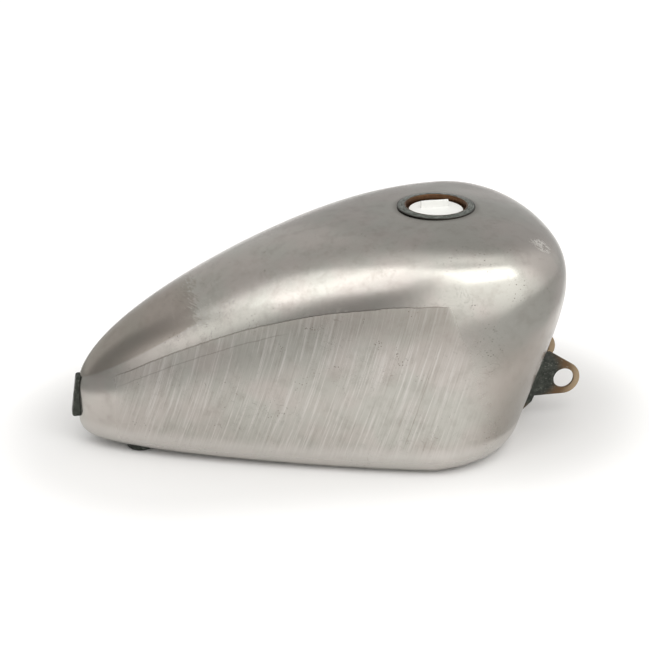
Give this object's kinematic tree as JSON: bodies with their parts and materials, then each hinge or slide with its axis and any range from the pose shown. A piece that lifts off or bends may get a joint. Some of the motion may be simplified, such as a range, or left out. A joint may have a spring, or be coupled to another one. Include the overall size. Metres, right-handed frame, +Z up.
{
  "type": "motorcycle fuel tank",
  "caption": "Teardrop pressed-steel fuel tank with a frame tunnel, front mounting ears, a rear lug and a lift-out white plug in its filler neck.",
  "frame": {"origin": "centre of the bounding box's bottom face, on the bench under the middle of the tank", "axes": "+X towards the steering head, -Y towards the rider's right, +Z up"},
  "size_m": [0.515, 0.2878, 0.2285],
  "materials": {
    "raw_steel": "raw warm-grey sheet steel, sanded on the flanks",
    "dark_steel": "dark green-black steel with brown heat tint",
    "white_plastic": "matt white moulded plastic"
  },
  "bodies": {
    "tank": {"right_shell": "raw_steel", "left_shell": "raw_steel", "floor_pan": "raw_steel", "tunnel": "raw_steel", "filler_neck": "dark_steel", "cam_ring": "dark_steel", "right_ear": "dark_steel", "left_ear": "dark_steel", "rear_lug": "dark_steel", "petcock_bung": "dark_steel"},
    "plug": {"filler_plug": "white_plastic"}
  },
  "joints": [
    {"name": "plug_lift", "type": "slide", "parent": "tank", "child": "plug", "axis": [0, 0, 1], "range_m": [0, 0.06]}
  ]
}
